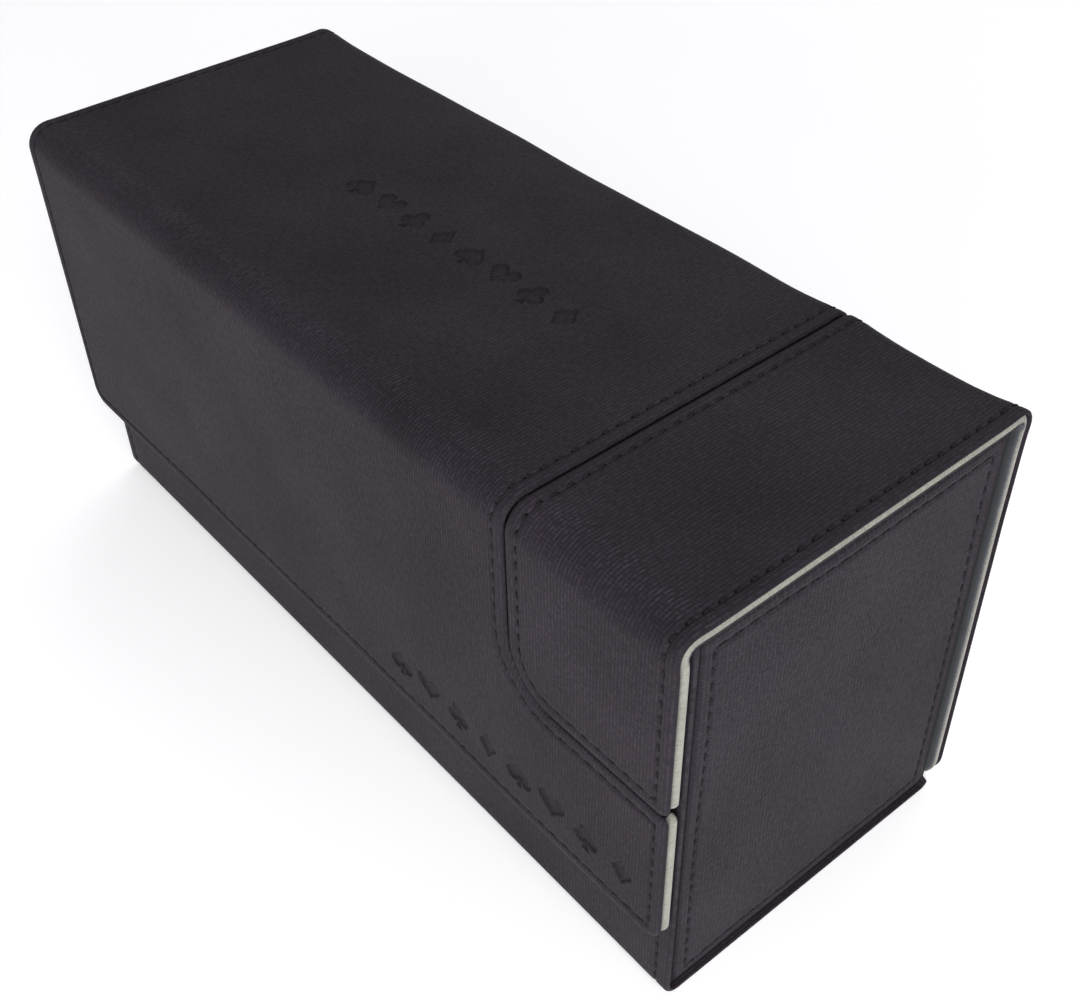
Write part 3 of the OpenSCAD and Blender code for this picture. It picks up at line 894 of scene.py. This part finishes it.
def build_end(side, sign, seed):
    """A stitched panel glued into the recess of an end, over the turned-in leatherette. sign is the end's
    direction along X."""
    node = side + "_end_cover"
    lo, hi = box(node)
    face, under = (hi[0], lo[0]) if sign > 0 else (lo[0], hi[0])
    wave = bump_field(seed, (30, 47, 70), 0.06)

    def from_x(x):
        """The function to3d for a sheet whose upper face lies h outside x."""
        return lambda u, v, h: lean(np.stack([x + sign * h, u, v], 1))

    seam = hi[1] + SEAM_PAST
    turned = sheet(f"{side}_turned_edge", rectangle(WRAP_HI[1], seam, BASE_TOP, RIM_Z, 0.3),
                   [(3.0, 0.25, 0), (0.4, 0.25, 0), (0.1, 0.15, 0), (0.05, 0.0, 0), (3.0, 0.0, 0)],
                   from_x(under), [TURNED_IN_AND_SHADE])
    # at the near end the wrap's back stops short of the board's face, so the back edge reaches in to it
    inner = WRAP_BACK_X - under if sign > 0 else 0.0
    # the back edge is near black, painted shade of the gap beside the lid's back lining
    back = sheet(f"{side}_back_edge", rectangle(seam + 0.05, WRAP_BACK_Y - 0.12, BASE_TOP, RIM_Z, 0.3),
                 [(0.5, 0.3, 0), (0.3, 0.3, 0), (0.14, 0.22, 0), (0.04, 0.1, 0), (0.0, -0.1, 0),
                  (0.0, inner, 0), (0.5, inner, 0)], from_x(under), [SHADED_LINING])
    for piece in (turned, back):
        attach(piece, "root")
    corners = rectangle(lo[1] + 0.5, seam, lo[2] + 0.2, hi[2] - 0.7, 1.2)
    panel = sheet(f"{side}_end_panel", corners, LEATHER_EDGE, from_x(face), [END_LEATHER], relief=wave)
    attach(panel, "root")
    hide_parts(node)
    line = ring(corners, STITCH_INSET, edge_counts(corners, True), True)
    to3d = from_x(face)
    thread = stitches(f"{side}_end_stitches", line, lambda u, v, h: to3d(u, v, h + wave(u, v)), closed=True)
    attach(thread, "root")


build_body()
build_end("near", 1, 31)
build_end("far", -1, 37)


# ---------------------------------------------------------------- materials of the CAD nodes

WRAPPED = ("front", "back", "near", "far", "base")
SOFT_EDGED = ("card_well_lining", "dice_well_lining", "divider_1", "divider_2")


def node_material(node):
    """The material of a CAD node, or None for the leatherette, all of which is replaced above."""
    if node.endswith("lining"):
        return WELL_FIBRE
    if node.endswith("board"):
        return TURNED_IN_AND_SHADE if node.split("_")[0] in WRAPPED else BOARD
    if "magnet" in node:
        return MAGNET
    return PLASTIC if node.startswith("divider") else None


def soften(ob):
    """Round the edges a little, without a change to the mesh itself."""
    weld = ob.modifiers.new("weld", "WELD")
    weld.merge_threshold = 0.001 * MM
    soft = ob.modifiers.new("soft_edges", "BEVEL")
    soft.width = 0.5 * MM
    soft.segments = 3
    soft.limit_method = "ANGLE"
    soft.angle_limit = math.radians(40)


for node, ob in frame["nodes"].items():
    if node_material(node):
        ob.data.materials.clear()
        ob.data.materials.append(node_material(node))
    if node in SOFT_EDGED:
        soften(ob)


# ---------------------------------------------------------------- stage, light and camera (all in metres)

FLOOR_HALF = 3
CAMERA_PLACE = (0.2120, -0.1531, 0.2665)
CAMERA_AZIMUTH, CAMERA_ELEVATION, CAMERA_ROLL = (math.radians(x) for x in (50.43, 41.42, -1.126))
SENSOR, LENS = 36, 47.02
TARGET = (0, 0, 0.05)
LIGHTS = {"key": ((1.1, -0.5, 0.85), TARGET, 0.9, 13),
          "fill": ((0.44, -0.66, 0.24), (0.04, 0, 0.05), 0.35, 4.0),
          "back": ((-0.5, 0.9, 1.1), TARGET, 1.4, 5.0)}


def add_object(name, data):
    ob = bpy.data.objects.new(name, data)
    bpy.context.scene.collection.objects.link(ob)
    return ob


def stage():
    me = bpy.data.meshes.new("floor")
    a = FLOOR_HALF
    me.from_pydata([(-a, -a, 0), (a, -a, 0), (a, a, 0), (-a, a, 0)], [], [(0, 1, 2, 3)])
    floor = add_object("floor", me)
    me.materials.append(Shading("pale_floor").surface(
        Base_Color=(0.97, 0.97, 0.97, 1), Roughness=0.8, Emission_Color=(1, 1, 1, 1), Emission_Strength=0.18))


def light(name, place, target, size, power):
    data = bpy.data.lights.new(name, "AREA")
    data.shape = "DISK"
    data.size = size
    data.energy = power
    ob = add_object(name, data)
    ob.location = place
    ob.rotation_mode = "QUATERNION"
    ob.rotation_quaternion = (Vector(target) - Vector(place)).to_track_quat("-Z", "Y")
    ob.visible_camera = False


def camera():
    """The photo's camera, from a fit to the box's straight edges."""
    data = bpy.data.cameras.new("camera")
    data.sensor_width = SENSOR
    data.lens = LENS
    data.clip_start, data.clip_end = 0.01, 20
    ob = add_object("camera", data)
    a, e, r = CAMERA_AZIMUTH, CAMERA_ELEVATION, CAMERA_ROLL
    back = Vector((math.sin(a) * math.cos(e), -math.cos(a) * math.cos(e), math.sin(e)))
    right = (-back).cross(Vector((0, 0, 1))).normalized()
    up = right.cross(-back)
    turned_right = math.cos(r) * right + math.sin(r) * up
    turned_up = -math.sin(r) * right + math.cos(r) * up
    turn = Matrix((turned_right, turned_up, back)).transposed().to_4x4()
    ob.matrix_world = Matrix.Translation(CAMERA_PLACE) @ turn
    bpy.context.scene.camera = ob


def studio():
    """Soft light from all round, with a slight tint."""
    world = bpy.data.worlds.new("studio")
    world.use_nodes = True
    background = world.node_tree.nodes["Background"]
    background.inputs["Color"].default_value = (0.97, 0.95, 1.0, 1)
    background.inputs["Strength"].default_value = 0.45
    bpy.context.scene.world = world


stage()
camera()
studio()
for light_name, setting in LIGHTS.items():
    light(light_name, *setting)
bpy.context.scene.view_settings.view_transform = "Standard"
